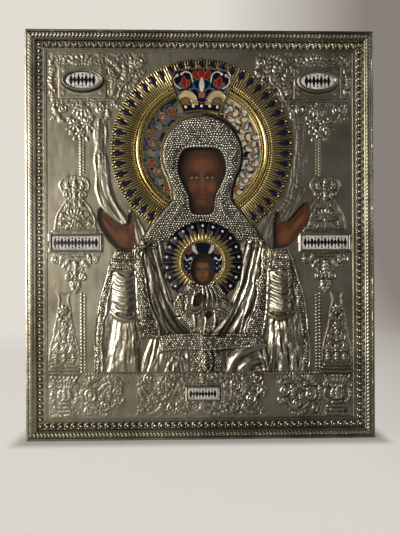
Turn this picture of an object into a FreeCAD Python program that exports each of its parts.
import FreeCAD, Part
import math
import os

# A devotional icon: a painting on a battened wooden panel, under an embossed metal cover with a gilt
# halo, enamels and plaques. Lengths are in millimetres. +Z is up, the front faces -Y and X is across.
# The origin is at the foot of the whole object, in the middle of its width and of its depth.
# A rise is a distance in front of the panel's wooden face. Outlines are lists of (across, up) places,
# and a name that ends in share or shares holds multiples of the named size that it is used with.

V = FreeCAD.Vector

# The whole icon
icon_width = 265.0
icon_height = 311.0
board_thickness = 26.0

# Layers and fits
ground_thickness = 1.0
paint_thickness = 0.3
sheet_wall = 0.8
robe_wall = 1.0
strip_wall = 1.0
board_gap = 0.2
piece_gap = 0.3
mitre_gap = 0.1
cell_gap = 0.2
overrun = 2.0
root_depth = 0.3

# Outer strips: a flat rim, a rope roll and a lip, with a flange round the panel's edge
flange_depth = 23.0
rim_width = 2.2
rim_rise = 4.0
rope_radius = 2.3
lip_width = 1.2

# Inner strips: a flat band that carries the beads, and a fillet
bead_band_width = 5.6
bead_band_wall = 0.9
fillet_radius = 1.0
fillet_foot = 0.6

# Raised work: how far each kind of form stands out from the metal under it
sleeve_height = 6.2
cuff_height = 5.0
skirt_height = 4.4
shoulder_fold_height = 3.4
knee_height = 5.0
band_height = 1.8
trim_height = 1.8
belt_height = 2.4
veil_height = 3.8
low_relief = 1.3
mid_relief = 1.8
high_relief = 2.6
cord_half_width = 0.7
window_lip = 0.5

# Halo and medallion
halo_ray_height = 2.0
halo_floor = 0.8
halo_ledge_width = 1.6
halo_roll_radius = 1.9
halo_drop_height = 1.6
halo_enamel_wall = 1.6
medallion_ray_height = 1.5
medallion_floor = 0.8
medallion_drop_height = 1.5
medallion_pearl_radius = 1.1
medallion_pearl_height = 0.9
medallion_ring_width = 1.8
medallion_ring_wall = 3.2
child_enamel_wall = 1.2
child_robe_height = 3.0
child_puff_height = 2.0

# Crown and brow band
crown_plate_wall = 3.0
crown_enamel_wall = 1.0
crown_border = 2.8
crown_pearl_radius = 1.3
crown_pearl_height = 1.0
brow_band_width = 2.4
brow_band_wall = 1.8

# Plaques and their bezels
plaque_wall = 1.0
bezel_wall = 1.8
oval_bezel_width = 2.6
title_bezel_width = 2.2
lower_bezel_width = 1.4

# Battens in the back of the panel
batten_stop_from_edge = 24.6
batten_width = 26.0
batten_undercut = 2.0
batten_taper = 1.5
batten_groove_depth = 8.0
batten_proud = 5.0
batten_gap = 0.15
upper_batten_from_top = 79.0
lower_batten_from_foot = 74.0

# Hanging ring with its plate and screws
ring_radius = 11.5
ring_wire_radius = 1.0
ring_bore_radius = 1.3
knuckle_radius = 1.9
knuckle_length = 4.0
ring_axis_below_top = 26.0
ring_lean_deg = 4.2
plate_width = 24.0
plate_height = 14.0
plate_wall = 0.9
screw_spacing = 15.0
screw_radius = 1.3
screw_length = 11.0
screw_head_radius = 2.6
screw_head_height = 1.2
screw_gap = 0.05

# Nails through the side flanges, with round heads on square shanks
nail_shank_radius = 0.8
nail_head_radius = 1.5
nail_length = 11.0
nail_gap = 0.05
side_nail_count = 4
end_nail_count = 3

# Layout of the field inside the strips. It is set out in modules, as many up and across as are named
# here, and everything in it is placed and sized in them, so the figure and its setting keep together.
field_height_share = 27.82
field_width_share = 23.22
foot_above_field_share = 3.41
axis_offset_share = 0.08
halo_centre_share = (0.0, 16.97)
halo_radius_share = 6.95
halo_ray_length_share = 1.67
halo_rim_width_share = 0.22
halo_rays_per_group = 3
halo_drop_count = 41
halo_drop_pitch_deg = 7.13
halo_drop_length_share = 0.96
halo_drop_width_share = 0.35
medallion_centre_share = (0.05, 8.42)
medallion_radius_share = 3.15
medallion_ray_length_share = 1.32
medallion_rays_per_group = 2
medallion_drop_count = 18
medallion_drop_pitch_deg = 16.1
medallion_drop_length_share = 1.12
medallion_drop_width_share = 0.6
medallion_drop_inset_share = 0.04
medallion_pearl_inset_share = 0.4
oval_from_field_side_share = 2.68
oval_below_field_top_share = 2.2
oval_half_width_share = 1.33
oval_half_height_share = 0.61
title_from_field_side_share = 2.11
title_above_foot_share = 9.92
title_width_share = 3.64
title_height_share = 1.06
pedestal_from_field_side_share = 1.09
lower_plaque_below_foot_share = 1.57
lower_plaque_width_share = 2.36
lower_plaque_height_share = 0.86

# Worked out from the sizes above
moulding_width = rim_width + 2 * rope_radius + lip_width
bead_strip_width = bead_band_width + 2 * fillet_radius + fillet_foot
field_margin = moulding_width + board_gap + bead_strip_width
field_half_width = icon_width / 2 - field_margin
field_foot = field_margin
field_top = icon_height - field_margin
field_height = field_top - field_foot
module = min(field_height / field_height_share, 2 * field_half_width / field_width_share)
spare_height = field_height - field_height_share * module
figure_foot = field_foot + spare_height / 2 + foot_above_field_share * module
figure_axis = axis_offset_share * module
board_width = icon_width - 2 * (strip_wall + board_gap)
board_height = icon_height - 2 * (strip_wall + board_gap)
board_foot = strip_wall + board_gap
batten_length = board_width - batten_stop_from_edge
upper_batten_height = icon_height - upper_batten_from_top
ground_rise = ground_thickness
sheet_rise = ground_rise + sheet_wall
robe_rise = sheet_rise + robe_wall
front_reach = robe_rise + sleeve_height
whole_depth = front_reach + board_thickness + batten_proud
board_front = front_reach - whole_depth / 2
board_back = board_front + board_thickness
halo_radius = halo_radius_share * module
halo_ray_inner = halo_radius - halo_ray_length_share * module
halo_roll_outer = halo_ray_inner - piece_gap
halo_roll_inner = halo_roll_outer - 2 * (halo_ledge_width + halo_roll_radius)
halo_drop_length = halo_drop_length_share * module
halo_drop_width = halo_drop_width_share * module
medallion_radius = medallion_radius_share * module
medallion_ray_inner = medallion_radius - medallion_ray_length_share * module
medallion_ring_outer = medallion_ray_inner - piece_gap
medallion_ring_inner = medallion_ring_outer - medallion_ring_width
medallion_drop_length = medallion_drop_length_share * module
medallion_drop_width = medallion_drop_width_share * module
medallion_drop_outer = medallion_radius - medallion_drop_inset_share * module
oval_axis = field_half_width - oval_from_field_side_share * module
oval_height = field_top - oval_below_field_top_share * module
oval_half_width = oval_half_width_share * module
oval_half_height = oval_half_height_share * module
title_axis = field_half_width - title_from_field_side_share * module
title_up = figure_foot + title_above_foot_share * module
title_width = title_width_share * module
title_height = title_height_share * module
pedestal_axis = field_half_width - pedestal_from_field_side_share * module
lower_plaque_up = figure_foot - lower_plaque_below_foot_share * module
lower_plaque_width = lower_plaque_width_share * module
lower_plaque_height = lower_plaque_height_share * module


# Outlines of the figure, in modules. A half outline holds (from the axis, above the foot).
head_centre_share = (0.0, 16.55)
head_radius_share = 3.03
veil_radius_share = 2.99
head_arc_from_deg = -20
robe_half_shares = [(8.25, 0.0), (8.25, 2.0), (8.12, 3.5), (7.92, 5.1), (7.65, 6.3), (7.3, 7.6),
                    (6.98, 8.7), (6.6, 9.35), (5.4, 9.35), (4.95, 9.7), (4.1, 11.1), (2.28, 13.2)]
veil_half_shares = [(0.0, 10.7), (2.4, 10.7), (4.7, 9.82), (4.02, 11.05), (2.22, 13.2)]
face_half_shares = [(0.0, 11.95), (0.65, 12.1), (0.95, 12.6), (1.05, 13.5), (1.5, 14.4), (1.82, 15.3),
                    (1.75, 16.2), (1.4, 16.9), (0.8, 17.1), (0.0, 17.15)]
child_face_centre_share = (0.0, 7.85)
child_face_half_share = (0.88, 1.25)
child_robe_shares = [(0.0, 2.95), (0.75, 3.3), (1.5, 3.85), (2.05, 4.5), (2.1, 5.3), (1.7, 5.95),
                     (1.2, 6.5), (0.85, 6.9), (-0.95, 6.9), (-1.55, 6.3), (-2.1, 5.7), (-2.25, 5.0),
                     (-2.0, 4.25), (-1.4, 3.85), (-0.95, 3.4)]
left_hand_shares = [(-7.88, 12.4), (-7.88, 11.55), (-7.63, 10.95), (-7.13, 10.15), (-6.53, 9.5),
                    (-6.1, 9.38), (-5.38, 9.42), (-5.21, 9.75), (-5.21, 11.55), (-5.35, 12.15),
                    (-5.62, 12.18), (-5.68, 11.35), (-6.03, 11.23), (-6.48, 11.45), (-6.98, 11.83),
                    (-7.43, 12.27), (-7.68, 12.55)]
right_hand_shares = [(5.47, 9.5), (6.12, 9.58), (6.52, 9.7), (6.92, 10.05), (7.47, 10.65), (7.87, 11.25),
                     (8.12, 11.85), (8.22, 12.45), (8.07, 12.95), (7.82, 12.9), (7.42, 12.5),
                     (6.92, 11.95), (6.52, 11.5), (5.9, 11.4), (5.87, 12.25), (5.67, 12.25), (5.47, 11.55)]
child_hand_high_shares = [(-0.25, 6.15), (-0.65, 5.75), (-0.75, 5.25), (-0.55, 5.05), (-0.25, 5.1),
                          (0.05, 5.55), (0.15, 5.95)]
child_hand_low_shares = [(0.1, 4.35), (0.3, 4.7), (0.6, 4.75), (0.8, 4.45), (0.6, 4.2), (0.3, 4.15)]
child_painting_shares = [(-1.15, 4.0), (1.15, 4.0), (1.2, 9.0), (0.7, 9.3), (-0.7, 9.3), (-1.2, 9.0)]
crown_half_shares = [(0.0, 19.9), (0.8, 19.82), (1.42, 19.72), (1.6, 20.2), (1.95, 20.9), (2.28, 21.8),
                     (2.32, 22.5), (2.05, 22.98), (1.2, 23.13), (0.0, 23.2)]
brow_band_half_deg = 44

# Raised cloth of the robe: (above the foot, inner side, outer side, share of the height), in modules
cuff_level_shares = [(9.3, 5.4, 6.3, 0.5), (8.6, 5.2, 6.7, 0.85), (7.85, 5.05, 6.9, 1.0)]
sleeve_foot_share = 4.3
sleeve_top_share = 7.85
sleeve_side_shares = (5.12, 6.82)
sleeve_wrinkle_count = 6
sleeve_groove_share = 0.78
skirt_level_shares = [(4.35, 5.1, 6.65, 0.7), (2.5, 4.9, 7.15, 1.0), (0.05, 4.75, 7.55, 0.95)]
trim_level_shares = [(8.75, 6.62, 6.9, 1.0), (7.6, 6.95, 7.22, 1.0), (6.3, 7.15, 7.57, 1.0),
                     (5.1, 7.4, 7.84, 1.0), (3.5, 7.6, 8.04, 1.0), (2.0, 7.7, 8.17, 1.0),
                     (0.05, 7.7, 8.17, 1.0)]
band_level_shares = [(9.1, 4.55, 5.0, 1.0), (7.0, 4.3, 5.0, 1.0), (5.0, 3.9, 4.95, 1.0),
                     (3.8, 3.35, 4.8, 1.0), (3.0, 3.1, 4.65, 1.0)]
shoulder_level_shares = [(9.6, 3.95, 4.45, 0.4), (8.0, 3.2, 4.2, 0.8), (6.0, 2.65, 3.8, 1.0),
                         (4.0, 1.75, 3.25, 1.0), (2.3, 0.75, 2.9, 0.8)]
lap_level_shares = [(3.9, 0.15, 1.7, 0.8), (2.4, 0.1, 0.85, 0.8)]
knee_level_shares = [(2.65, 3.0, 3.9, 0.55), (1.8, 2.2, 4.5, 1.0), (0.9, 1.8, 4.65, 0.95),
                     (0.05, 1.5, 4.7, 0.85)]
curtain_level_shares = [(11.5, 5.8, 6.6, 0.5), (12.7, 6.0, 7.6, 0.9), (14.3, 6.6, 7.95, 1.0),
                        (16.5, 6.9, 8.05, 1.0), (18.5, 7.1, 8.05, 1.0), (20.1, 7.4, 8.0, 0.6)]
belt_half_shares = [(0.0, 1.65), (2.9, 1.65), (3.05, 2.9), (0.0, 2.85)]
robe_oval_centre_share = (0.15, 0.9)
robe_oval_half_share = (0.55, 0.8)
round_profile_shares = [0.25, 0.75, 1.0, 0.75, 0.25]
flat_profile_shares = [0.7, 1.0, 1.0, 0.7]
pleat_profile_shares = [0.0, 0.9, 0.35, 1.0, 0.3, 0.85, 0.25, 1.0, 0.3, 0.8, 0.0]
fold_profile_shares = [0.0, 1.0, 0.25, 0.9, 0.2, 0.7, 0.0]
knee_profile_shares = [0.15, 0.8, 1.0, 0.75, 0.4, 0.8, 0.3, 0.6, 0.0]

# Chased ornament of the left side, in modules: (away from the middle, up) from each piece's axis
cartouche_shares = [(-1.8, -1.25), (1.8, -1.25), (1.8, 1.25), (-1.8, 1.25)]
pediment_shares = [(-1.5, 1.25), (1.5, 1.25), (1.2, 1.7), (0.65, 2.05), (0.0, 2.15), (-0.65, 2.05),
                   (-1.2, 1.7)]
shelf_shares = [(-2.3, -1.75), (2.5, -1.75), (2.7, -1.35), (-2.3, -1.35)]
shelf_volute_shares = [(-1.35, -2.1), (1.4, -2.1)]
shelf_volute_radius_share = 0.42
volute_profile_shares = [(1.0, 0.0), (0.8, 1.0), (0.5, 0.45), (0.3, 0.9)]
fan_drop_shares = [(-0.75, -1.75), (0.8, -1.75), (0.4, -2.65), (-0.35, -2.65)]
side_leaf_shares = [(1.95, -1.3), (2.65, -1.3), (2.6, 0.4), (2.2, 1.1), (1.95, 0.6)]
flower_shares = [(0.5, -3.35), (-0.4, -3.2), (0.0, -3.95)]
flower_radius_share = 0.45
acanthus_shares = [(-1.95, 1.95), (-2.9, 2.1), (-3.9, 1.85), (-4.65, 1.45), (-4.75, 0.9), (-4.2, 0.65),
                   (-3.95, 0.1), (-3.45, -0.5), (-2.95, -1.3), (-2.35, -2.0), (-1.9, -1.6)]
acanthus_curl_shares = [(-4.15, 1.35), (-3.3, 0.55), (-2.75, -0.6)]
acanthus_curl_radius_shares = [0.5, 0.42, 0.38]
console_head_shares = [(-0.95, 3.35), (0.95, 3.35), (1.2, 4.1), (1.0, 4.75), (0.35, 5.05), (-0.35, 5.05),
                       (-1.0, 4.75), (-1.2, 4.1)]
console_bell_shares = [(-1.75, 1.05), (1.75, 1.05), (1.6, 2.1), (1.2, 2.9), (0.85, 3.4), (-0.85, 3.4),
                       (-1.2, 2.9), (-1.6, 2.1)]
console_base_shares = [(-1.9, 0.78), (1.9, 0.78), (1.8, 1.15), (-1.8, 1.15)]
console_volute_shares = [(-0.85, 3.5), (0.85, 3.5)]
console_volute_radius_share = 0.45
shell_centre_share = (0.0, 1.55)
shell_radius_share = 0.85
shell_flute_count = 7
lambrequin_shares = [(-1.75, -0.78), (1.75, -0.78), (1.55, -1.7), (0.95, -1.45), (0.55, -2.3), (0.0, -3.75),
                     (-0.55, -2.3), (-0.95, -1.45), (-1.55, -1.7)]
lambrequin_volute_shares = [(-0.6, -2.55), (0.6, -2.55)]
lambrequin_volute_radius_share = 0.35
pedestal_neck_shares = [(-0.35, 8.8), (0.35, 8.8), (0.35, 8.2), (-0.35, 8.2)]
pedestal_shaft_shares = [(-1.05, 3.9), (1.0, 3.9), (0.85, 5.2), (0.55, 6.6), (0.4, 8.2), (-0.45, 8.2),
                         (-0.65, 6.6), (-0.95, 5.2)]
pedestal_base_shares = [(-1.15, 3.45), (1.02, 3.45), (1.02, 3.9), (-1.15, 3.9)]
urn_shares = [(-0.5, 0.1), (0.5, 0.1), (0.45, 0.5), (0.7, 0.9), (0.45, 1.3), (0.8, 2.2), (0.85, 2.9),
              (0.55, 3.4), (-0.55, 3.4), (-0.85, 2.9), (-0.8, 2.2), (-0.45, 1.3), (-0.7, 0.9), (-0.45, 0.5)]
corner_scroll_shares = [(-0.8, 0.4), (-1.6, 0.45), (-3.0, 0.35), (-3.9, 0.6), (-4.4, 1.5), (-4.5, 2.4),
                        (-4.2, 2.9), (-3.0, 3.0), (-1.0, 3.1)]
corner_volute_shares = [(-1.45, 1.8), (-3.65, 2.1), (-2.9, 0.95), (-1.8, 0.75)]
corner_volute_radius_shares = [0.62, 0.6, 0.5, 0.4]
middle_scroll_shares = [(1.6, -1.55), (2.9, -1.8), (4.2, -1.3), (4.6, -0.4), (4.3, 0.6), (4.5, 1.2),
                        (3.4, 1.3), (1.6, 1.25)]
middle_volute_shares = [(3.8, 0.55), (3.6, -0.75), (2.4, 0.3), (2.3, -0.9)]
middle_volute_radius_shares = [0.6, 0.55, 0.55, 0.45]
middle_frame_shares = [(-1.75, -1.6), (1.75, -1.6), (1.9, 1.3), (-1.9, 1.3)]
cord_half_width = 0.7
cord_below_oval_share = 4.2
cord_above_title_share = 5.55
cord_below_title_share = 3.72
cord_under_foot_share = 0.2


# Ground shapes
def front_y(rise):
    return board_front - rise


def figure_place(share):
    return (figure_axis + share[0] * module, figure_foot + share[1] * module)


def figure_places(shares):
    return [figure_place(share) for share in shares]


def both_halves(half_shares):
    """Close a half outline over the axis. It runs up the right side and down the left side."""
    left = [(-across, up) for across, up in reversed(half_shares) if across > 0]
    return half_shares + left


def head_arc_shares(radius_share):
    """The right half of the head's round, from low on the side to the top."""
    steps = 8
    span = 90 - head_arc_from_deg
    angles = [math.radians(head_arc_from_deg + span * step / steps) for step in range(steps)]
    return [(radius_share * math.cos(a), head_centre_share[1] + radius_share * math.sin(a)) for a in angles]


def ellipse_places(centre, half_width, half_height, corners):
    turn = 2 * math.pi / corners
    angles = [turn * step for step in range(corners)]
    return [(centre[0] + half_width * math.cos(a), centre[1] + half_height * math.sin(a)) for a in angles]


def grown(places, distance):
    """The outline moved outwards by a distance, with its corners kept sharp."""
    count = len(places)
    area = sum(places[i][0] * places[(i + 1) % count][1] - places[(i + 1) % count][0] * places[i][1]
               for i in range(count))
    side = math.copysign(1.0, area)
    result = []
    for i, (x, z) in enumerate(places):
        before = places[i - 1]
        after = places[(i + 1) % count]
        into = math.hypot(x - before[0], z - before[1])
        out = math.hypot(after[0] - x, after[1] - z)
        normal_in = ((z - before[1]) / into * side, (before[0] - x) / into * side)
        normal_out = ((after[1] - z) / out * side, (x - after[0]) / out * side)
        spread = 1 + normal_in[0] * normal_out[0] + normal_in[1] * normal_out[1]
        reach = distance / max(spread, 0.3)
        result.append((x + (normal_in[0] + normal_out[0]) * reach,
                       z + (normal_in[1] + normal_out[1]) * reach))
    return result


def corners_at(places, rise):
    return [V(x, front_y(rise), z) for x, z in places]


def plate(places, back_rise, front_rise):
    return facet(corners_at(places, back_rise)).extrude(V(0, back_rise - front_rise, 0))


def facet(corners):
    return Part.Face(Part.makePolygon(corners + corners[:1]))


def flat_faces(a, b, c, d):
    """The four-sided patch a, b, c, d as one face where it is flat, or else as two."""
    across = (b - a).cross(c - a)
    off_plane = abs(across.dot(d - a)) / max(across.Length, 1e-9)
    if off_plane < 1e-7 * (c - a).Length:
        return [facet([a, b, c, d])]
    return [facet([a, b, c]), facet([a, c, d])]


def skinned(rings):
    """A solid with flat ends through rings of corners, with flat faces between them."""
    count = len(rings[0])
    faces = [facet(rings[0][::-1]), facet(rings[-1])]
    for ring, following in zip(rings, rings[1:]):
        for i in range(count):
            j = (i + 1) % count
            faces += flat_faces(ring[i], ring[j], following[j], following[i])
    solid = Part.Solid(Part.Shell(faces))
    if solid.Volume < 0:
        solid.reverse()
    return solid


def drawn_in(places, share):
    """The outline made smaller about its own middle."""
    middle_x = sum(x for x, z in places) / len(places)
    middle_z = sum(z for x, z in places) / len(places)
    return [(middle_x + (x - middle_x) * share, middle_z + (z - middle_z) * share) for x, z in places]


def boss(places, back_rise, front_rise, top_share):
    """A raised form whose sides slope evenly towards its middle."""
    return skinned([corners_at(places, back_rise), corners_at(drawn_in(places, top_share), front_rise)])


def stud(centre, radius, back_rise, height):
    return boss(ellipse_places(centre, radius, radius, 8), back_rise, back_rise + height, 0.55)


def volute(centre, radius, seat_rise, height):
    """A round scroll end: a sloping rim round a hollow, with an eye in its middle."""
    steps = 8
    rings = [corners_at(ellipse_places(centre, radius, radius, steps), seat_rise - root_depth)]
    for radius_share, height_share in volute_profile_shares:
        reach = radius * radius_share
        rise = seat_rise + height * height_share
        rings.append(corners_at(ellipse_places(centre, reach, reach, steps), rise))
    return skinned(rings)


def draped(levels, profile_shares, seat_rise):
    """Cloth through level sections (up, side, other side, height) with one profile across."""
    sections = []
    steps = len(profile_shares) - 1
    back = front_y(seat_rise - root_depth)
    for z, side, other_side, height in levels:
        corners = [V(side, back, z)]
        for step, share in enumerate(profile_shares):
            x = side + (other_side - side) * step / steps
            corners.append(V(x, front_y(seat_rise + height * share), z))
        corners.append(V(other_side, back, z))
        sections.append(corners)
    return skinned(sections)


def figure_cloth(level_shares, height, profile_shares):
    levels = [(figure_foot + up * module, figure_axis + inner * module,
               figure_axis + outer * module, height * part) for up, inner, outer, part in level_shares]
    return draped(levels, profile_shares, robe_rise)


def mirrored(shape, axis_x):
    return shape.mirror(V(axis_x, 0, 0), V(1, 0, 0))


def annulus(centre, inner_radius, outer_radius, back_rise, front_rise):
    foot = V(centre[0], front_y(back_rise), centre[1])
    thickness = front_rise - back_rise
    outer = Part.makeCylinder(outer_radius, thickness, foot, V(0, -1, 0))
    inner = Part.makeCylinder(inner_radius, thickness, foot, V(0, -1, 0))
    return outer.cut(inner)


def solids_of(shape):
    return Part.makeCompound(shape.Solids)


def fused(shapes):
    whole = shapes[0].multiFuse(shapes[1:]) if len(shapes) > 1 else shapes[0]
    return whole.removeSplitter()


# Outlines that several pieces share
robe_outline = figure_places(both_halves(robe_half_shares + head_arc_shares(head_radius_share)
                                         + [(0.0, head_centre_share[1] + head_radius_share)]))
veil_outline = figure_places(both_halves(veil_half_shares + head_arc_shares(veil_radius_share)
                                         + [(0.0, head_centre_share[1] + veil_radius_share)]))
face_window = figure_places(both_halves(face_half_shares))
crown_outline = figure_places(both_halves(crown_half_shares))
child_face_window = ellipse_places(figure_place(child_face_centre_share),
                                   child_face_half_share[0] * module,
                                   child_face_half_share[1] * module, 16)
child_robe_outline = figure_places(child_robe_shares)
child_painting = figure_places(child_painting_shares)
child_windows = [child_face_window, figure_places(child_hand_high_shares),
                 figure_places(child_hand_low_shares)]
hand_windows = {"left": figure_places(left_hand_shares), "right": figure_places(right_hand_shares)}


def through(places, distance=0.0):
    """A cutter of an outline's shape, grown by a distance, right through the cover."""
    return plate(grown(places, distance) if distance else places, -overrun, front_reach + overrun)


def above(places, seat_rise, distance):
    """A cutter that leaves everything below the seat alone."""
    return plate(grown(places, distance), seat_rise, front_reach + overrun)


# The panel and its back
def dovetail(half_width, floor_y, proud_y, x):
    """The section of a batten: wide at the bottom of its groove, narrow where it leaves the wood."""
    wide = half_width + batten_undercut
    return [V(x, floor_y, -wide), V(x, floor_y, wide), V(x, board_back, half_width),
            V(x, proud_y, half_width), V(x, proud_y, -half_width), V(x, board_back, -half_width)]


def batten_body(gap, proud, length, entry_x, direction):
    """A tapered dovetail bar, widest where it was driven in, at the panel's edge."""
    wide = batten_width / 2 + gap
    floor_y = board_back - batten_groove_depth - gap
    proud_y = board_back + proud
    stop_x = entry_x + direction * length
    return skinned([dovetail(wide, floor_y, proud_y, entry_x),
                    dovetail(wide - batten_taper, floor_y, proud_y, stop_x)])


def batten(height, direction):
    bar = batten_body(0, batten_proud, batten_length, -direction * board_width / 2, direction)
    bar.translate(V(0, 0, height))
    return bar


def batten_groove(height, direction):
    entry_x = -direction * (board_width / 2 + overrun)
    bar = batten_body(batten_gap, overrun, batten_length + overrun + batten_gap, entry_x, direction)
    bar.translate(V(0, 0, height))
    return bar


def slab(width, height, foot, back_y, thickness):
    return Part.makeBox(width, thickness, height, V(-width / 2, back_y - thickness, foot))


def ring_axis():
    return V(0, board_back + plate_wall + knuckle_radius, icon_height - ring_axis_below_top)


def screw_places():
    top = ring_axis().z - knuckle_radius
    return [(side * screw_spacing / 2, top - plate_height / 2) for side in (-1, 1)]


def screw_hole(place, radius, depth):
    mouth = V(place[0], board_back + overrun, place[1])
    return Part.makeCylinder(radius, depth + overrun, mouth, V(0, -1, 0))


def icon_board():
    board = slab(board_width, board_height, board_foot, board_back, board_thickness)
    cutters = [batten_groove(upper_batten_height, 1), batten_groove(lower_batten_from_foot, -1)]
    cutters += [screw_hole(place, screw_radius + screw_gap, screw_length) for place in screw_places()]
    cutters += [nail_hole(*nail) for nail in nails()]
    return board.cut(cutters)


def gesso_ground():
    return slab(board_width, board_height, board_foot, front_y(0), ground_thickness)


def hanger_plate():
    """A small plate with its middle tongue rolled into a knuckle for the ring."""
    axis = ring_axis()
    top = axis.z - knuckle_radius
    body = Part.makeBox(plate_width, plate_wall, plate_height,
                        V(-plate_width / 2, board_back, top - plate_height))
    tongue = Part.makeBox(knuckle_length, plate_wall, axis.z - top + root_depth,
                          V(-knuckle_length / 2, board_back, top - root_depth))
    roll = Part.makeCylinder(knuckle_radius, knuckle_length,
                             V(-knuckle_length / 2, axis.y, axis.z), V(1, 0, 0))
    web = Part.makeBox(knuckle_length, knuckle_radius, knuckle_radius,
                       V(-knuckle_length / 2, board_back, axis.z - knuckle_radius))
    bore = Part.makeCylinder(ring_bore_radius, knuckle_length + 2 * overrun,
                             V(-knuckle_length / 2 - overrun, axis.y, axis.z), V(1, 0, 0))
    holes = [screw_hole(place, screw_radius + screw_gap, plate_wall) for place in screw_places()]
    return fused([body, tongue, roll, web]).cut([bore] + holes)


def hanger_screws():
    screws = []
    for place in screw_places():
        head_y = board_back + plate_wall
        shank = Part.makeCylinder(screw_radius, screw_length + plate_wall - screw_gap,
                                  V(place[0], head_y, place[1]), V(0, -1, 0))
        head = Part.makeCone(screw_head_radius, screw_head_radius * 0.7, screw_head_height,
                             V(place[0], head_y, place[1]), V(0, 1, 0))
        screws.append(shank.fuse(head))
    return Part.makeCompound(screws)


def hanging_ring():
    """A wire ring in its knuckle, standing up and leaning on the back of the panel."""
    axis = ring_axis()
    flats = 10
    turns = [2 * math.pi * step / flats for step in range(flats)]
    wire = facet([V(ring_radius + ring_wire_radius * math.cos(a), ring_wire_radius * math.sin(a), 0)
                  for a in turns])
    ring = wire.revolve(V(0, 0, 0), V(0, 1, 0), 360)
    ring.translate(V(0, axis.y, axis.z + ring_radius))
    ring.rotate(axis, V(1, 0, 0), ring_lean_deg)
    return ring


# The cover's edge
def nails():
    """Where each flange nail enters: its outer end and the direction it was driven in."""
    places = []
    depth_y = board_front + flange_depth / 2
    for step in range(side_nail_count):
        up = icon_height * (step + 0.5) / side_nail_count
        places.append((V(-icon_width / 2, depth_y, up), V(1, 0, 0)))
        places.append((V(icon_width / 2, depth_y, up), V(-1, 0, 0)))
    for step in range(end_nail_count):
        across = icon_width * ((step + 0.5) / end_nail_count - 0.5)
        places.append((V(across, depth_y, 0), V(0, 0, 1)))
        places.append((V(across, depth_y, icon_height), V(0, 0, -1)))
    return places


def prism(place, direction, radius, length, corners):
    """An even-sided bar that starts at a place and runs along a direction."""
    across = V(0, 1, 0)
    other = direction.cross(across)
    turn = 2 * math.pi / corners
    places = [place + (across * math.cos(turn * (i + 0.5)) + other * math.sin(turn * (i + 0.5))) * radius
              for i in range(corners)]
    return facet(places).extrude(direction * length)


def nail_hole(place, direction):
    return prism(place, direction, nail_shank_radius + nail_gap, nail_length + nail_gap, 4)


def head_hole(place, direction):
    """The hole in a flange that takes the nail's flat head, flush with the metal."""
    start = place - direction * overrun
    return prism(start, direction, nail_head_radius + nail_gap, strip_wall + board_gap + overrun, 8)


def edge_nails():
    made = []
    for place, direction in nails():
        head = prism(place, direction, nail_head_radius, strip_wall, 8)
        shank = prism(place, direction, nail_shank_radius, nail_length, 4)
        made.append(head.fuse(shank))
    return Part.makeCompound(made)


def strip_section():
    """The outer strip's bent sheet, as (inwards, rise) seen along the strip."""
    wall = strip_wall
    rope_from = rim_width
    rope_to = rim_width + 2 * rope_radius
    rope_middle = rim_width + rope_radius

    def at(inwards, rise):
        return V(0, front_y(rise), inwards)

    def run(*places):
        return [Part.makeLine(a, b) for a, b in zip(places, places[1:])]

    edges = run(at(0, -flange_depth), at(0, rim_rise), at(rope_from, rim_rise))
    edges.append(Part.Arc(at(rope_from, rim_rise), at(rope_middle, rim_rise + rope_radius),
                          at(rope_to, rim_rise)).toShape())
    edges += run(at(rope_to, rim_rise), at(moulding_width, rim_rise), at(moulding_width, ground_rise),
                 at(moulding_width - wall, ground_rise), at(moulding_width - wall, rim_rise - wall),
                 at(rope_to - wall, rim_rise - wall), at(rope_to - wall, rim_rise))
    edges.append(Part.Arc(at(rope_to - wall, rim_rise), at(rope_middle, rim_rise + rope_radius - wall),
                          at(rope_from + wall, rim_rise)).toShape())
    edges += run(at(rope_from + wall, rim_rise), at(rope_from + wall, rim_rise - wall),
                 at(wall, rim_rise - wall), at(wall, -flange_depth), at(0, -flange_depth))
    return Part.Face(Part.Wire(edges))


def bead_strip_section():
    """The inner strip: the beads' flat band, a round fillet and its foot."""
    start = moulding_width + board_gap
    band_to = start + bead_band_width
    fillet_to = band_to + 2 * fillet_radius
    band_rise = sheet_rise + bead_band_wall

    def at(inwards, rise):
        return V(0, front_y(rise), inwards)

    fillet = Part.Arc(at(band_to, band_rise), at(band_to + fillet_radius, band_rise + fillet_radius),
                      at(fillet_to, band_rise)).toShape()
    foot_to = fillet_to + fillet_foot
    foot_rise = band_rise - bead_band_wall / 2
    edges = [Part.makeLine(at(start, sheet_rise), at(start, band_rise)),
             Part.makeLine(at(start, band_rise), at(band_to, band_rise)), fillet,
             Part.makeLine(at(fillet_to, band_rise), at(foot_to, foot_rise)),
             Part.makeLine(at(foot_to, foot_rise), at(foot_to, sheet_rise)),
             Part.makeLine(at(foot_to, sheet_rise), at(start, sheet_rise))]
    return Part.Face(Part.Wire(edges))


def mitred_strip(section, length, depth):
    """A strip along the foot, cut to 45 degrees at both ends."""
    bar = section.extrude(V(length, 0, 0))
    bar.translate(V(-length / 2, 0, 0))
    reach = depth + overrun
    half = length / 2 - mitre_gap
    corners = [(-half - overrun, -overrun), (half + overrun, -overrun), (half - reach, reach),
               (-half + reach, reach)]
    keep = plate(corners, -flange_depth - overrun, front_reach + overrun)
    return bar.common(keep)


def on_side(strip, side):
    """Turn a strip from the foot to the side that is named."""
    turn = {"bottom": 0, "left": 90, "top": 180, "right": -90}[side]
    shift = {"bottom": V(0, 0, 0), "left": V(-icon_width / 2, 0, icon_height / 2),
             "top": V(0, 0, icon_height), "right": V(icon_width / 2, 0, icon_height / 2)}[side]
    strip.rotate(V(0, 0, 0), V(0, 1, 0), turn)
    strip.translate(shift)
    return strip


def side_length(side):
    return icon_width if side in ("top", "bottom") else icon_height


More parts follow.
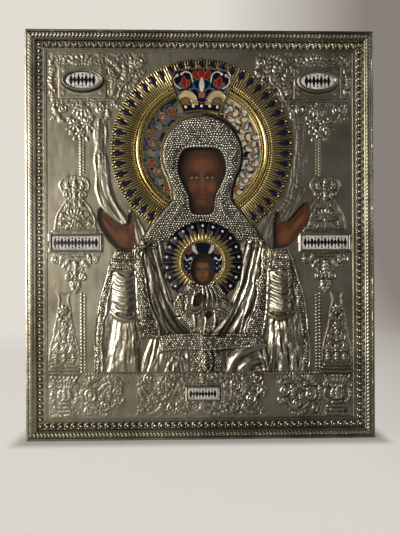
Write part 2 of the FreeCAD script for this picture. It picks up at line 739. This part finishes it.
def frame_strip(side):
    strip = on_side(mitred_strip(strip_section(), side_length(side), moulding_width), side)
    return strip.cut([head_hole(*nail) for nail in nails()])


def bead_strip(side):
    return on_side(mitred_strip(bead_strip_section(), side_length(side), field_margin), side)


# The painting
def painted_head():
    return plate(grown(face_window, 2 * window_lip), ground_rise, ground_rise + paint_thickness)


def painted_hand(side):
    return plate(grown(hand_windows[side], -board_gap), ground_rise, ground_rise + paint_thickness)


def painted_child():
    return plate(child_painting, ground_rise, ground_rise + paint_thickness)


# The background sheet with its chased ornament
def side_places(axis, height, shares):
    """Left-side outline: shares count away from the icon's middle and up from the height."""
    return [(-(axis + out * module), height + up * module) for out, up in shares]


def side_boss(axis, height, shares, relief, top_share=0.88):
    return boss(side_places(axis, height, shares), sheet_rise - root_depth, sheet_rise + relief, top_share)


def side_volutes(axis, height, shares, radius_shares, relief):
    centres = side_places(axis, height, shares)
    return [volute(centre, radius_share * module, sheet_rise, relief)
            for centre, radius_share in zip(centres, radius_shares)]


def shell_form():
    """A scallop: flutes that spread from its hinge."""
    centre = side_places(title_axis, title_up, [shell_centre_share])[0]
    radius = shell_radius_share * module
    seat = sheet_rise + high_relief - root_depth
    turn = math.pi / shell_flute_count

    def place(reach, angle):
        return (centre[0] + reach * math.cos(angle), centre[1] + reach * math.sin(angle))

    flutes = []
    for step in range(shell_flute_count):
        a = turn * (step + 0.5)
        tip = place(radius, a)
        side_a = place(radius * 0.86, a - turn / 2)
        side_b = place(radius * 0.86, a + turn / 2)
        flutes.append(boss([centre, side_a, tip, side_b], seat, seat + root_depth + low_relief, 0.6))
    return flutes


def oval_group():
    """The cartouche of the oval plaque, with what stands above it and hangs below it."""
    axis = oval_axis
    height = oval_height
    forms = [side_boss(axis, height, cartouche_shares, low_relief, 0.96),
             side_boss(axis, height, pediment_shares, mid_relief),
             side_boss(axis, height, shelf_shares, mid_relief),
             side_boss(axis, height, fan_drop_shares, mid_relief),
             side_boss(axis, height, side_leaf_shares, low_relief),
             side_boss(axis, height, acanthus_shares, low_relief)]
    forms += side_volutes(axis, height, shelf_volute_shares, [shelf_volute_radius_share] * 2, high_relief)
    forms += side_volutes(axis, height, flower_shares, [flower_radius_share] * 3, mid_relief)
    forms += side_volutes(axis, height, acanthus_curl_shares, acanthus_curl_radius_shares, high_relief)
    return forms


def title_group():
    """The bell-shaped console over the long plaque and the lambrequin under it."""
    axis = title_axis
    height = title_up
    forms = [side_boss(axis, height, console_head_shares, mid_relief),
             side_boss(axis, height, console_bell_shares, high_relief),
             side_boss(axis, height, console_base_shares, mid_relief),
             side_boss(axis, height, lambrequin_shares, mid_relief, 0.8)]
    radius_shares = [console_volute_radius_share] * 2 + [lambrequin_volute_radius_share] * 2
    forms += side_volutes(axis, height, console_volute_shares + lambrequin_volute_shares, radius_shares,
                          high_relief)
    forms += shell_form()
    return forms


def pedestal_group():
    """The tall tapering pedestal on its urn, with the corner scrolls beside it."""
    axis = pedestal_axis
    foot = field_margin
    forms = [side_boss(axis, foot, pedestal_neck_shares, low_relief),
             side_boss(axis, foot, pedestal_shaft_shares, mid_relief),
             side_boss(axis, foot, pedestal_base_shares, high_relief),
             side_boss(axis, foot, urn_shares, high_relief, 0.8),
             side_boss(axis, foot, corner_scroll_shares, low_relief)]
    forms += side_volutes(axis, foot, corner_volute_shares, corner_volute_radius_shares, high_relief)
    return forms


def middle_group():
    """The scrolls on the left of the small plaque."""
    height = lower_plaque_up
    forms = [side_boss(0, height, middle_scroll_shares, low_relief)]
    return forms + side_volutes(0, height, middle_volute_shares, middle_volute_radius_shares, high_relief)


def curtains():
    """Hanging drapery on both sides of the halo, down to the hands."""
    levels = [(figure_foot + up * module, figure_axis + inner * module,
               figure_axis + outer * module, mid_relief * part)
              for up, inner, outer, part in curtain_level_shares]
    right = draped(levels, fold_profile_shares, sheet_rise)
    return [mirrored(right, figure_axis), right]


def cord(low, high):
    """A thin raised cord between two places that are level with each other or one above the other."""
    places = [(low[0] - cord_half_width, low[1] - cord_half_width),
              (high[0] + cord_half_width, low[1] - cord_half_width),
              (high[0] + cord_half_width, high[1] + cord_half_width),
              (low[0] - cord_half_width, high[1] + cord_half_width)]
    return plate(places, sheet_rise - root_depth, sheet_rise + low_relief / 2)


def cords():
    """The cords that tie the ornaments together, and one along the figure's foot."""
    x = -oval_axis
    under_foot = figure_foot - cord_under_foot_share * module
    above_console = title_up + cord_above_title_share * module
    below_lambrequin = title_up - cord_below_title_share * module
    below_flowers = oval_height - cord_below_oval_share * module
    return [cord((x, above_console), (x, below_flowers)), cord((x, under_foot), (x, below_lambrequin)),
            cord((x, under_foot), (0, under_foot))]


def plaque_seats():
    """What clears the ornament from under the plaques' bezels."""
    seats = []
    for side in ("left", "right"):
        oval = oval_places(side, oval_half_width + oval_bezel_width, oval_half_height + oval_bezel_width)
        title = rectangle(title_centre(side), title_width + 2 * title_bezel_width,
                          title_height + 2 * title_bezel_width)
        seats += [above(oval, sheet_rise + low_relief, piece_gap), above(title, sheet_rise, piece_gap)]
    return seats


def middle_frame():
    places = [(figure_axis + out * module, lower_plaque_up + up * module)
              for out, up in middle_frame_shares]
    return boss(places, sheet_rise - root_depth, sheet_rise + low_relief, 0.95)


def background_sheet():
    margin = moulding_width + board_gap
    half_width = icon_width / 2 - margin
    sheet = plate([(-half_width, margin), (half_width, margin), (half_width, icon_height - margin),
                   (-half_width, icon_height - margin)], ground_rise, sheet_rise)
    left = oval_group() + title_group() + pedestal_group() + middle_group() + cords()
    ornament = left + [mirrored(form, 0) for form in left] + [middle_frame()] + curtains()
    inner = field_half_width - piece_gap
    field = plate([(-inner, field_margin + piece_gap), (inner, field_margin + piece_gap),
                   (inner, field_top - piece_gap), (-inner, field_top - piece_gap)],
                  sheet_rise - root_depth, front_reach)
    halo_disc = annulus(halo_centre, halo_radius / 2, halo_radius + piece_gap, sheet_rise, front_reach)
    covers = [above(robe_outline, sheet_rise, piece_gap), halo_disc] + plaque_seats()
    ornament = [form.common(field).cut(covers) for form in ornament]
    chased = fused([sheet] + [solid for form in ornament for solid in form.Solids])
    windows = [through(face_window, 3 * window_lip), through(child_painting, piece_gap),
               through(hand_windows["left"]), through(hand_windows["right"])]
    return chased.cut(windows)


# The robe and the veil
def sleeve_level_shares():
    """Crests and grooves of the sleeve's level wrinkles, closed at the bottom by a heavier roll."""
    steps = 2 * sleeve_wrinkle_count
    levels = []
    for step in range(steps + 1):
        up = sleeve_foot_share + (sleeve_top_share - sleeve_foot_share) * step / steps
        height_share = sleeve_groove_share if step % 2 == 0 else 1.0
        levels.append((up, sleeve_side_shares[0], sleeve_side_shares[1], height_share))
    return levels


def robe_forms():
    side = [figure_cloth(cuff_level_shares, cuff_height, round_profile_shares),
            figure_cloth(sleeve_level_shares(), sleeve_height, round_profile_shares),
            figure_cloth(skirt_level_shares, skirt_height, pleat_profile_shares),
            figure_cloth(trim_level_shares, trim_height, flat_profile_shares),
            figure_cloth(band_level_shares, band_height, flat_profile_shares),
            figure_cloth(shoulder_level_shares, shoulder_fold_height, fold_profile_shares),
            figure_cloth(lap_level_shares, shoulder_fold_height, fold_profile_shares),
            figure_cloth(knee_level_shares, knee_height, knee_profile_shares)]
    belt = boss(figure_places(both_halves(belt_half_shares)), robe_rise - root_depth,
                robe_rise + belt_height, 0.97)
    oval = boss(ellipse_places(figure_place(robe_oval_centre_share), robe_oval_half_share[0] * module,
                               robe_oval_half_share[1] * module, 12),
                robe_rise - root_depth, robe_rise + belt_height, 0.7)
    return side + [mirrored(form, figure_axis) for form in side] + [belt, oval]


def medallion_seat():
    """Everything over the robe's plate inside the medallion's rim."""
    foot = V(medallion_centre[0], front_y(robe_rise), medallion_centre[1])
    return Part.makeCylinder(medallion_radius + piece_gap, front_reach, foot, V(0, -1, 0))


def robe_relief():
    base = plate(robe_outline, sheet_rise, robe_rise)
    covers = [medallion_seat(), above(veil_outline, robe_rise, piece_gap),
              above(child_robe_outline, robe_rise, piece_gap)]
    forms = [form.cut(covers) for form in robe_forms()]
    robe = fused([base] + [solid for form in forms for solid in form.Solids])
    return robe.cut([through(face_window)] + [through(window) for window in child_windows])


def veil():
    body = boss(veil_outline, robe_rise, robe_rise + veil_height, 0.92)
    flare = skinned([corners_at(grown(face_window, window_lip), sheet_rise),
                     corners_at(grown(face_window, 4 * window_lip), front_reach)])
    return body.cut([flare, medallion_seat()])


# Halo and medallion
def rayed_ring(centre, inner, outer, cells, pitch_deg, cell_half_deg, rays, back_rise, floor, crest):
    """A ring of sharp rays in groups, with a flat place for an enamel cell between two groups."""
    first = 90 - pitch_deg * (cells - 1) / 2
    profile = []
    for gap in range(cells + 1):
        start = first + pitch_deg * (gap - 1) + cell_half_deg
        stop = first + pitch_deg * gap - cell_half_deg
        for step in range(rays):
            profile.append((start + (stop - start) * step / rays, 0.0))
            profile.append((start + (stop - start) * (step + 0.5) / rays, 1.0))
        profile.append((stop, 0.0))

    def row(radius, rises):
        return [V(centre[0] + radius * math.cos(math.radians(angle)), front_y(rise),
                  centre[1] + radius * math.sin(math.radians(angle)))
                for (angle, share), rise in zip(profile, rises)]

    seat = back_rise + floor
    inner_top = row(inner, [seat + crest * 0.4 * share for angle, share in profile])
    outer_top = row(outer, [seat + crest * share for angle, share in profile])
    inner_foot = row(inner, [back_rise] * len(profile))
    outer_foot = row(outer, [back_rise] * len(profile))

    faces = [facet(inner_foot + outer_foot[::-1])]
    for i in range(len(profile) - 1):
        faces += flat_faces(inner_top[i], outer_top[i], outer_top[i + 1], inner_top[i + 1])
        faces.append(facet([inner_foot[i], inner_top[i], inner_top[i + 1], inner_foot[i + 1]]))
        faces.append(facet([outer_foot[i], outer_foot[i + 1], outer_top[i + 1], outer_top[i]]))
    for i in (0, -1):
        faces.append(facet([inner_foot[i], inner_top[i], outer_top[i], outer_foot[i]]))
    solid = Part.Solid(Part.Shell(faces))
    if solid.Volume < 0:
        solid.reverse()
    return solid


teardrop_widest_share = 0.72
teardrop_shares = [(0.0, 0.0), (0.45, 0.36), (teardrop_widest_share, 0.5), (0.9, 0.42), (1.0, 0.15),
                   (1.0, -0.15), (0.9, -0.42), (teardrop_widest_share, -0.5), (0.45, -0.36)]


def cell_angles(cells, pitch_deg):
    return [math.radians(90 + pitch_deg * (step - (cells - 1) / 2)) for step in range(cells)]


def radial_drop(centre, angle, inner_radius, length, width, back_rise, height):
    """An enamel drop that points to the centre."""
    along = (math.cos(angle), math.sin(angle))
    places = []
    for out, aside in teardrop_shares:
        radius = inner_radius + out * length
        places.append((centre[0] + radius * along[0] - aside * width * along[1],
                       centre[1] + radius * along[1] + aside * width * along[0]))
    return boss(places, back_rise, back_rise + height, 0.6)


def whole_pieces(shapes, cutters, least_share):
    """Cut each shape, and leave out what keeps less than a share of its volume."""
    kept = []
    for shape in shapes:
        left = shape.cut(cutters)
        if left.Volume > least_share * shape.Volume:
            kept += [solid for solid in left.Solids if solid.Volume > least_share * shape.Volume]
    return Part.makeCompound(kept)


halo_centre = figure_place(halo_centre_share)
medallion_centre = figure_place(medallion_centre_share)


def halo_covers():
    """What lies over the halo: the figure, the crown and the brow band."""
    return [through(robe_outline, piece_gap), through(crown_outline, piece_gap)]


def halo_drop_outer():
    return halo_radius - halo_rim_width_share * module


def halo_rays():
    widest_radius = halo_drop_outer() - halo_drop_length * (1 - teardrop_widest_share)
    cell_half_deg = math.degrees((halo_drop_width / 2 + cell_gap) / widest_radius)
    ring = rayed_ring(halo_centre, halo_ray_inner, halo_radius, halo_drop_count, halo_drop_pitch_deg,
                      cell_half_deg, halo_rays_per_group, sheet_rise, halo_floor, halo_ray_height)
    return solids_of(ring.cut(halo_covers()))


def halo_drops():
    inner_radius = halo_drop_outer() - halo_drop_length
    drops = [radial_drop(halo_centre, angle, inner_radius, halo_drop_length, halo_drop_width,
                         sheet_rise + halo_floor, halo_drop_height)
             for angle in cell_angles(halo_drop_count, halo_drop_pitch_deg)]
    return whole_pieces(drops, halo_covers(), 0.25)


def halo_roll():
    """The plain gilt roll between two ledges that carry small beads."""
    middle = halo_roll_inner + halo_ledge_width + halo_roll_radius
    ledge_rise = sheet_rise + halo_floor + halo_ray_height / 2

    def at(radius, rise):
        return V(halo_centre[0] + radius, front_y(rise), halo_centre[1])

    flats = 6
    turns = [math.pi * (1 - step / flats) for step in range(flats + 1)]
    roll = [at(middle + halo_roll_radius * math.cos(a), ledge_rise + halo_roll_radius * math.sin(a))
            for a in turns]
    section = facet([at(halo_roll_inner, sheet_rise), at(halo_roll_inner, ledge_rise)] + roll
                    + [at(halo_roll_outer, ledge_rise), at(halo_roll_outer, sheet_rise)])
    ring = section.revolve(V(halo_centre[0], 0, halo_centre[1]), V(0, 1, 0), 360)
    return solids_of(ring.cut(halo_covers()))


def brow_band_places(distance):
    """The arched band's outline over the veil, grown by a distance."""
    head = figure_place(head_centre_share)
    inner = head_radius_share * module + piece_gap - distance
    outer = inner + brow_band_width + 2 * distance
    steps = 12
    spare_deg = math.degrees(distance / inner)
    half = brow_band_half_deg + spare_deg
    angles = [math.radians(90 - half + 2 * half * step / steps) for step in range(steps + 1)]
    low = [(head[0] + inner * math.cos(a), head[1] + inner * math.sin(a)) for a in angles]
    high = [(head[0] + outer * math.cos(a), head[1] + outer * math.sin(a)) for a in reversed(angles)]
    return low + high


def brow_band():
    band = plate(brow_band_places(0), sheet_rise, sheet_rise + brow_band_wall)
    return solids_of(band.cut(through(crown_outline, piece_gap)))


def halo_enamel(side):
    """One enamel field between the roll and the veil."""
    foot = V(halo_centre[0], front_y(sheet_rise), halo_centre[1])
    disc = Part.makeCylinder(halo_roll_inner - piece_gap, halo_enamel_wall, foot, V(0, -1, 0))
    direction = -1 if side == "left" else 1
    reach = halo_radius * direction
    half = plate([(figure_axis, 0), (figure_axis + reach, 0), (figure_axis + reach, icon_height),
                  (figure_axis, icon_height)], sheet_rise, front_reach)
    brow = plate(brow_band_places(piece_gap), sheet_rise - overrun, front_reach)
    panel = disc.common(half).cut(halo_covers() + [brow])
    return max(panel.Solids, key=lambda solid: solid.Volume)


def crown_plate():
    return boss(crown_outline, sheet_rise, sheet_rise + crown_plate_wall, 0.94)


def crown_enamel():
    seat = sheet_rise + crown_plate_wall
    return plate(grown(crown_outline, -crown_border), seat, seat + crown_enamel_wall)


crown_pearl_shares = [(-1.2, 20.32), (-0.62, 20.42), (0.0, 20.45), (0.62, 20.42), (1.2, 20.32)]


def crown_pearls():
    seat = sheet_rise + crown_plate_wall + crown_enamel_wall
    return Part.makeCompound([stud(centre, crown_pearl_radius, seat, crown_pearl_height)
                              for centre in figure_places(crown_pearl_shares)])


def medallion_covers():
    return [through(child_robe_outline, piece_gap)]


def medallion_rays():
    widest_radius = medallion_drop_outer - medallion_drop_length * (1 - teardrop_widest_share)
    cell_half_deg = math.degrees((medallion_drop_width / 2 + cell_gap) / widest_radius)
    ring = rayed_ring(medallion_centre, medallion_ray_inner, medallion_radius, medallion_drop_count,
                      medallion_drop_pitch_deg, cell_half_deg, medallion_rays_per_group, robe_rise,
                      medallion_floor, medallion_ray_height)
    return solids_of(ring.cut(medallion_covers()))


def medallion_drops():
    inner_radius = medallion_drop_outer - medallion_drop_length
    drops = [radial_drop(medallion_centre, angle, inner_radius, medallion_drop_length, medallion_drop_width,
                         robe_rise + medallion_floor, medallion_drop_height)
             for angle in cell_angles(medallion_drop_count, medallion_drop_pitch_deg)]
    return whole_pieces(drops, medallion_covers(), 0.5)


def medallion_pearls():
    radius = medallion_radius - medallion_pearl_inset_share * module
    seat = robe_rise + medallion_floor + medallion_drop_height
    pearls = []
    for angle in cell_angles(medallion_drop_count, medallion_drop_pitch_deg):
        centre = (medallion_centre[0] + radius * math.cos(angle),
                  medallion_centre[1] + radius * math.sin(angle))
        pearls.append(stud(centre, medallion_pearl_radius, seat, medallion_pearl_height))
    return Part.makeCompound(pearls)


def medallion_ring():
    ring = annulus(medallion_centre, medallion_ring_inner, medallion_ring_outer, robe_rise,
                   robe_rise + medallion_ring_wall)
    return solids_of(ring.cut(medallion_covers()))


def child_halo_enamel():
    foot = V(medallion_centre[0], front_y(robe_rise), medallion_centre[1])
    disc = Part.makeCylinder(medallion_ring_inner - piece_gap, child_enamel_wall, foot, V(0, -1, 0))
    panel = disc.cut([through(child_face_window), through(child_robe_outline, piece_gap)])
    return max(panel.Solids, key=lambda solid: solid.Volume)


child_puff_shares = [[(3.9, 0.75, 1.5, 0.4), (4.6, 0.9, 2.0, 1.0), (5.4, 0.8, 2.0, 0.9),
                      (6.2, 0.7, 1.3, 0.4)],
                     [(4.0, -1.6, -1.0, 0.4), (4.7, -2.05, -0.95, 1.0), (5.4, -2.1, -0.95, 0.9),
                      (6.2, -1.6, -1.0, 0.4)],
                     [(3.1, -0.3, 0.4, 0.3), (3.9, -0.5, 0.55, 0.9), (4.1, -0.5, 0.6, 0.8)]]


def child_robe():
    """The child's embossed shirt and cloak, with the window's edge for the face and two for the hands."""
    body = boss(child_robe_outline, robe_rise, robe_rise + child_robe_height, 0.85)
    front = robe_rise + child_robe_height
    puffs = []
    for level_shares in child_puff_shares:
        levels = [(figure_foot + up * module, figure_axis + side * module,
                   figure_axis + other * module, child_puff_height * part)
                  for up, side, other, part in level_shares]
        puffs.append(draped(levels, round_profile_shares, front - root_depth))
    keep = through(child_robe_outline)
    shirt = fused([body] + [puff.common(keep) for puff in puffs])
    return shirt.cut([through(window) for window in child_windows])


# Plaques
def oval_places(side, half_width, half_height):
    direction = -1 if side == "left" else 1
    return ellipse_places((direction * oval_axis, oval_height), half_width, half_height, 28)


def oval_plaque(side):
    seat = sheet_rise + low_relief
    return plate(oval_places(side, oval_half_width, oval_half_height), seat, seat + plaque_wall)


def oval_bezel(side):
    seat = sheet_rise + low_relief
    outer = oval_places(side, oval_half_width + oval_bezel_width, oval_half_height + oval_bezel_width)
    inner = oval_places(side, oval_half_width + mitre_gap, oval_half_height + mitre_gap)
    hole = plate(inner, seat - overrun, seat + bezel_wall + overrun)
    return plate(outer, seat, seat + bezel_wall).cut(hole)


def rectangle(centre, width, height):
    corners = [(-0.5, -0.5), (0.5, -0.5), (0.5, 0.5), (-0.5, 0.5)]
    return [(centre[0] + across * width, centre[1] + up * height) for across, up in corners]


def framed_bezel(centre, width, height, bezel_width, seat):
    outer = rectangle(centre, width + 2 * bezel_width, height + 2 * bezel_width)
    inner = rectangle(centre, width + 2 * mitre_gap, height + 2 * mitre_gap)
    rim = plate(inner, seat - overrun, seat + bezel_wall + overrun)
    return boss(outer, seat, seat + bezel_wall, 0.97).cut(rim)


def title_centre(side):
    return (-title_axis if side == "left" else title_axis, title_up)


def title_plaque(side):
    places = rectangle(title_centre(side), title_width, title_height)
    return plate(places, sheet_rise, sheet_rise + plaque_wall)


def title_bezel(side):
    return framed_bezel(title_centre(side), title_width, title_height, title_bezel_width, sheet_rise)


def lower_plaque():
    seat = sheet_rise + low_relief
    centre = (figure_axis, lower_plaque_up)
    return plate(rectangle(centre, lower_plaque_width, lower_plaque_height), seat, seat + plaque_wall)


def lower_bezel():
    centre = (figure_axis, lower_plaque_up)
    return framed_bezel(centre, lower_plaque_width, lower_plaque_height, lower_bezel_width,
                        sheet_rise + low_relief)


def all_nodes():
    nodes = {
        "icon_board": icon_board(),
        "upper_batten": batten(upper_batten_height, 1),
        "lower_batten": batten(lower_batten_from_foot, -1),
        "gesso_ground": gesso_ground(),
        "painted_head": painted_head(),
        "painted_left_hand": painted_hand("left"),
        "painted_right_hand": painted_hand("right"),
        "painted_child": painted_child(),
        "background_sheet": background_sheet(),
        "robe_relief": robe_relief(),
        "veil": veil(),
        "halo_rays": halo_rays(),
        "halo_drops": halo_drops(),
        "halo_roll": halo_roll(),
        "brow_band": brow_band(),
        "crown_plate": crown_plate(),
        "crown_enamel": crown_enamel(),
        "crown_pearls": crown_pearls(),
        "medallion_rays": medallion_rays(),
        "medallion_drops": medallion_drops(),
        "medallion_pearls": medallion_pearls(),
        "medallion_ring": medallion_ring(),
        "child_halo_enamel": child_halo_enamel(),
        "child_robe": child_robe(),
        "lower_plaque": lower_plaque(),
        "lower_bezel": lower_bezel(),
        "edge_nails": edge_nails(),
        "hanger_plate": hanger_plate(),
        "hanger_screws": hanger_screws(),
        "hanging_ring": hanging_ring(),
    }
    for side in ("top", "bottom", "left", "right"):
        nodes["frame_" + side] = frame_strip(side)
        nodes["bead_strip_" + side] = bead_strip(side)
    for side in ("left", "right"):
        nodes["halo_enamel_" + side] = halo_enamel(side)
        nodes["oval_plaque_" + side] = oval_plaque(side)
        nodes["oval_bezel_" + side] = oval_bezel(side)
        nodes["title_plaque_" + side] = title_plaque(side)
        nodes["title_bezel_" + side] = title_bezel(side)
    return nodes


os.makedirs("parts", exist_ok=True)
for name, shape in all_nodes().items():
    print(name, len(shape.Solids), "solids", "valid" if shape.isValid() else "NOT VALID",
          "volume", round(shape.Volume, 1))
    shape.exportStep("parts/" + name + ".step")
ring_at = ring_axis()
print("ring axis", [round(value, 3) for value in (ring_at.x, ring_at.y, ring_at.z)])
print("board front and back", [round(value, 3) for value in (board_front, board_back)])
